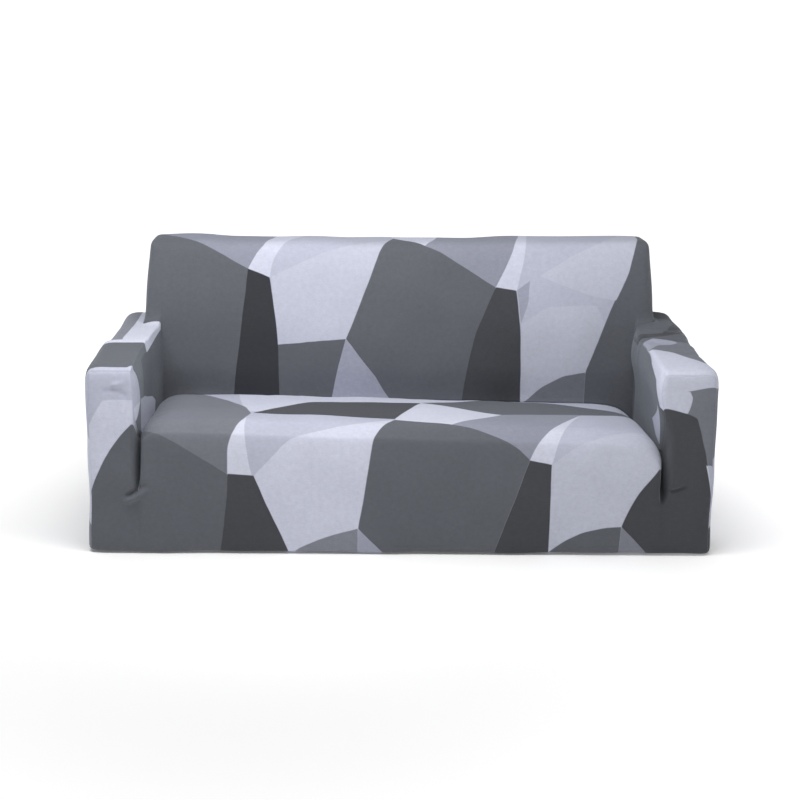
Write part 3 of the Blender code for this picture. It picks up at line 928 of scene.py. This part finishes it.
# how far inside one edge of a patch a place is
def insideEdge(tree, place, start, end, bow):
    start, end = Vector(start), Vector(end)
    along = end - start
    inward = Vector((-along.y, along.x)).normalized()
    if not bow:
        line = (inward.x, inward.y, -inward.dot(start))
        return doVector(tree, "DOT_PRODUCT", place, line, "Value")
    radius = (along.length_squared / 4 + bow**2) / (2 * abs(bow))
    toCentre = inward * (radius - abs(bow))
    centre = (start + end) / 2 + (toCentre if bow > 0 else -toCentre)
    distance = doVector(tree, "DISTANCE", place, (centre.x, centre.y, 1), "Value")
    if bow > 0:
        return doMath(tree, "SUBTRACT", radius, distance)
    return doMath(tree, "SUBTRACT", distance, radius)


def addPatch(tree, place, colour, patch):
    tone, corners, *bows = patch
    bows = bows[0] if bows else {}
    turns = sum(a[0] * b[1] - b[0] * a[1] for a, b in zip(corners, corners[1:] + corners[:1]))
    edges = []
    for number, start in enumerate(corners):
        end = corners[(number + 1) % len(corners)]
        bow = bows.get(number, 0)
        edges.append((start, end, bow) if turns > 0 else (end, start, bow))
    inside = None
    for start, end, bow in edges:
        side = insideEdge(tree, place, start, end, bow)
        inside = side if inside is None else doMath(
            tree, "SMOOTH_MIN", inside, side, cloth["round"])
    factor = doMath(tree, "MULTIPLY_ADD", inside, 1 / cloth["edge"], 0.5, clamp=True)
    return blend(tree, "MIX", factor, colour, (*tones[tone], 1))


def clothMaterial(name, ground, patches):
    material = bpy.data.materials.new(name)
    material.use_nodes = True
    tree = material.node_tree
    surface = tree.nodes["Principled BSDF"]
    flat = addNode(tree, "ShaderNodeUVMap", {"uv_map": "flat"}).outputs[0]
    solid = addNode(tree, "ShaderNodeTexCoord").outputs["Object"]

    # the print wanders a little with the stretch of the cloth
    wander = noise(tree, flat, cloth["wander"], "Color")
    wander = doVector(tree, "SUBTRACT", wander, (0.5, 0.5, 0.5))
    wander = doVector(tree, "MULTIPLY", wander, (2 * cloth["drift"], 2 * cloth["drift"], 0))
    place = doVector(tree, "ADD", flat, (0, 0, 1))
    place = doVector(tree, "ADD", place, wander)
    colour = addNode(tree, "ShaderNodeRGB").outputs[0]
    colour.default_value = (*tones[ground], 1)
    for patch in patches:
        colour = addPatch(tree, place, colour, patch)

    # dye takes unevenly: broad clouds, mottling, fine heather, and short streaks along the rows
    clouds = uneven(tree, flat, cloth["clouds"])
    clouds = doMath(tree, "MULTIPLY", clouds, uneven(tree, flat, cloth["mottle"]))
    heather = uneven(tree, flat, cloth["heather"])
    streaked = doVector(tree, "MULTIPLY", flat, cloth["streakScale"])
    streaks = uneven(tree, streaked, cloth["streaks"])
    dye = doMath(tree, "MULTIPLY", clouds, doMath(tree, "MULTIPLY", heather, streaks))
    colour = blend(tree, "MULTIPLY", 1.0, colour, greyOf(tree, dye))

    # loops of the knit, fuzz on them, and faint ripples in the cloth
    parts = addNode(tree, "ShaderNodeSeparateXYZ", {}, {0: flat}).outputs
    rowWave = doMath(tree, "SINE", phase(tree, parts[1], cloth["course"]))
    column = phase(tree, parts[0], cloth["wale"])
    column = doMath(tree, "ADD", column, doMath(tree, "MULTIPLY", rowWave, cloth["weaving"]))
    loops = doMath(tree, "MULTIPLY", doMath(tree, "SINE", column), cloth["knitHeight"])
    rows = doMath(tree, "MULTIPLY", rowWave, cloth["knitHeight"] * cloth["rowShare"])
    height = doMath(tree, "ADD", loops, rows)
    for name in ("fuzz", "ripples"):
        rise = doMath(tree, "MULTIPLY", noise(tree, flat, cloth[name]), cloth[name][3])
        height = doMath(tree, "ADD", height, rise)

    # the seam line, and the twin row of stitches that holds the hem
    near = addNode(tree, "ShaderNodeAttribute", {"attribute_name": "seamDistance"}).outputs["Fac"]
    groove = doMath(tree, "MULTIPLY_ADD", near, -1 / cloth["grooveWidth"], 1.0, clamp=True)
    run = doVector(tree, "DOT_PRODUCT", solid, (1.0, 1.0, 1.0), "Value")
    run = doMath(tree, "SINE", phase(tree, run, cloth["stitch"]))
    hemUp = addNode(tree, "ShaderNodeSeparateXYZ", {}, {0: solid}).outputs[2]
    hemUp = doMath(tree, "ADD", hemUp, float(hold[2]) - cloth["hemLine"])
    twin = doMath(tree, "SUBTRACT", doMath(tree, "ABSOLUTE", hemUp), cloth["twinGap"])
    twin = doMath(tree, "ABSOLUTE", twin)
    twin = doMath(tree, "MULTIPLY_ADD", twin, -1 / cloth["twinWidth"], 1.0, clamp=True)
    twin = doMath(tree, "MULTIPLY", twin, doMath(tree, "MULTIPLY_ADD", run, 0.5, 0.5))
    sunk = doMath(tree, "MULTIPLY", groove, -cloth["grooveDepth"])
    sunk = doMath(tree, "MULTIPLY_ADD", twin, -cloth["twinDepth"], sunk)
    height = doMath(tree, "ADD", height, sunk)
    dark = doMath(tree, "MULTIPLY_ADD", groove, -cloth["grooveDark"], 1.0)
    dark = doMath(tree, "MULTIPLY_ADD", twin, -cloth["twinDark"], dark)
    colour = blend(tree, "MULTIPLY", 1.0, colour, greyOf(tree, dark))
    tree.links.new(colour, surface.inputs["Base Color"])
    tree.links.new(bumpOf(tree, height), surface.inputs["Normal"])
    spread = cloth["roughSpread"]
    rough = doMath(tree, "MULTIPLY_ADD", heather, spread, cloth["rough"] - spread, clamp=True)
    tree.links.new(rough, surface.inputs["Roughness"])
    surface.inputs["Specular IOR Level"].default_value = cloth["specular"]
    surface.inputs["Sheen Weight"].default_value = cloth["sheen"]
    surface.inputs["Sheen Tint"].default_value = (*cloth["sheenTint"], 1)
    surface.inputs["Sheen Roughness"].default_value = cloth["sheenRough"]
    return material


def reverseMaterial():
    material = bpy.data.materials.new("clothReverse")
    material.use_nodes = True
    tree = material.node_tree
    surface = tree.nodes["Principled BSDF"]
    flat = addNode(tree, "ShaderNodeUVMap", {"uv_map": "flat"}).outputs[0]
    clouds = noise(tree, flat, reverseSet["clouds"])
    clouds = doMath(tree, "MULTIPLY_ADD", clouds, *reverseSet["cloudRange"])
    dye = doMath(tree, "MULTIPLY", clouds, uneven(tree, flat, reverseSet["grain"]))
    colour = blend(tree, "MULTIPLY", 1.0, (*reverseSet["tone"], 1), greyOf(tree, dye))
    tree.links.new(colour, surface.inputs["Base Color"])
    parts = addNode(tree, "ShaderNodeSeparateXYZ", {}, {0: flat}).outputs
    row = doMath(tree, "SINE", phase(tree, parts[1], cloth["course"]))
    height = doMath(tree, "MULTIPLY", row, cloth["knitHeight"])
    tree.links.new(bumpOf(tree, height), surface.inputs["Normal"])
    surface.inputs["Roughness"].default_value = reverseSet["rough"]
    surface.inputs["Specular IOR Level"].default_value = reverseSet["specular"]
    surface.inputs["Sheen Weight"].default_value = reverseSet["sheen"]
    return material


wholeBody = bmesh.new()
wholeBody.from_mesh(whole)
outward = wholeBody.verts.layers.float_vector.new("outward")
for vert in wholeBody.verts:
    vert[outward] = vert.normal
reverse = reverseMaterial()
for name in panelNames:
    panel = wholeBody.copy()
    number = panelNames.index(name)
    others = [face for face in panel.faces if face.material_index != number]
    bmesh.ops.delete(panel, geom=others, context="FACES")

    # the sheet's inner face follows the whole cover's normals, so neighbours meet at the seams
    outward = panel.verts.layers.float_vector["outward"]
    grown = bmesh.ops.extrude_face_region(panel, geom=panel.faces[:], use_keep_orig=True)["geom"]
    inner = {item for item in grown if isinstance(item, bmesh.types.BMVert)}
    for vert in inner:
        vert.co -= cloth["thickness"] * vert[outward]
    for face in panel.faces:
        face.material_index = int(all(vert in inner for vert in face.verts))
    panel.verts.layers.float_vector.remove(outward)
    bmesh.ops.recalc_face_normals(panel, faces=panel.faces)
    mesh = bpy.data.meshes.new(name)
    panel.to_mesh(mesh)
    panel.free()
    mesh.shade_smooth()

    corners = np.empty(len(mesh.loops), int)
    mesh.loops.foreach_get("vertex_index", corners)
    counts = np.empty(len(mesh.polygons), int)
    mesh.polygons.foreach_get("loop_total", counts)
    out = np.repeat(triples(mesh.polygons, "normal"), counts, axis=0)
    flat = unrolled(name, triples(mesh.vertices, "co")[corners] + hold, out)
    mesh.uv_layers.new(name="flat").data.foreach_set("uv", np.stack(flat, 1).ravel())

    piece = bpy.data.objects.new(name, mesh)
    scene.collection.objects.link(piece)
    ground, patches = prints[name]
    mesh.materials.append(clothMaterial(name + "Cloth", ground, patches))
    mesh.materials.append(reverse)
    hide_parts(cadNames[name])
    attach(piece, "root")
    print(name, "made:", len(mesh.polygons), "faces")
wholeBody.free()

# a plain pale floor: a wide shallow bowl, level under the cover and rising far out
floorSet = {
    "drop": -0.761,
    "rings": [(6.0, 0.0), (7.0, 0.06), (8.0, 0.24), (9.0, 0.52), (10.5, 1.05), (13.0, 1.95),
              (18.0, 3.75)],
    "segments": 96,
    "colour": 0.92,
    "rough": 0.9,
    "glow": {"near": 0.10, "far": 0.75, "from": 0.6, "to": 2.2, "middle": (-0.3, -0.9)},
}
floor = bmesh.new()
bmesh.ops.create_circle(
    floor, cap_ends=True, segments=floorSet["segments"], radius=floorSet["rings"][0][0])
edges = [edge for edge in floor.edges if edge.is_boundary]
for (inner, low), (outer, high) in zip(floorSet["rings"], floorSet["rings"][1:]):
    grown = bmesh.ops.extrude_edge_only(floor, edges=edges)["geom"]
    verts = [item for item in grown if isinstance(item, bmesh.types.BMVert)]
    bmesh.ops.scale(floor, verts=verts, vec=(outer / inner, outer / inner, 1))
    bmesh.ops.translate(floor, verts=verts, vec=(0, 0, high - low))
    edges = [item for item in grown if isinstance(item, bmesh.types.BMEdge) and item.is_boundary]
bmesh.ops.translate(floor, verts=floor.verts, vec=(0, 0, floorSet["drop"]))
bmesh.ops.recalc_face_normals(floor, faces=floor.faces)
if floor.faces[0].normal.z < 0:
    bmesh.ops.reverse_faces(floor, faces=floor.faces)
floorMesh = bpy.data.meshes.new("floor")
floor.to_mesh(floorMesh)
floor.free()
floorMesh.shade_smooth()
floorObject = bpy.data.objects.new("floor", floorMesh)
scene.collection.objects.link(floorObject)
floorMaterial = bpy.data.materials.new("floor")
floorMaterial.use_nodes = True
floorSurface = floorMaterial.node_tree.nodes["Principled BSDF"]
floorSurface.inputs["Base Color"].default_value = (*[floorSet["colour"]] * 3, 1)
floorSurface.inputs["Roughness"].default_value = floorSet["rough"]
floorSurface.inputs["Emission Color"].default_value = (1, 1, 1, 1)
# the floor glows a little, and more far out, to stay as pale there as under the panel
glow = floorSet["glow"]
floorTree = floorMaterial.node_tree
floorPlace = addNode(floorTree, "ShaderNodeTexCoord").outputs["Object"]
glowMiddle = (*glow["middle"], floorSet["drop"])
reach = doVector(floorTree, "DISTANCE", floorPlace, glowMiddle, "Value")
glowing = addNode(floorTree, "ShaderNodeMapRange", {"interpolation_type": "SMOOTHSTEP"},
                  {0: reach, 1: glow["from"], 2: glow["to"], 3: glow["near"], 4: glow["far"]})
floorTree.links.new(glowing.outputs[0], floorSurface.inputs["Emission Strength"])
floorMesh.materials.append(floorMaterial)

# soft light: a broad sun overhead, a panel above and in front of the seat, and a pale sky
lightSet = {
    "sun": {"kind": "SUN", "place": (-0.3, 0.4, 3), "aim": (0, 0, 0), "size": 0.9, "power": 0.8},
    "top": {"kind": "AREA", "place": (-0.40, -1.06, 1.00), "aim": (-0.30, -0.50, -0.40),
            "wide": 2.2, "size": 0.6, "power": 29},
}
for name, values in lightSet.items():
    lampData = bpy.data.lights.new(name, values["kind"])
    if values["kind"] == "SUN":
        lampData.angle = values["size"]
    else:
        lampData.shape = "RECTANGLE"
        lampData.size, lampData.size_y = values["wide"], values["size"]
    lampData.energy = values["power"]
    lamp = bpy.data.objects.new(name, lampData)
    lamp.location = values["place"]
    aim = Vector(values["aim"]) - Vector(values["place"])
    lamp.rotation_euler = aim.to_track_quat("-Z", "Y").to_euler()
    lamp.visible_camera = False
    scene.collection.objects.link(lamp)
skyStrength = 0.12
world = bpy.data.worlds.new("studio")
world.use_nodes = True
sky = world.node_tree.nodes["Background"]
sky.inputs["Color"].default_value = (1, 1, 1, 1)
sky.inputs["Strength"].default_value = skyStrength
scene.world = world
scene.view_settings.view_transform = "Standard"
print("stage and lights made")
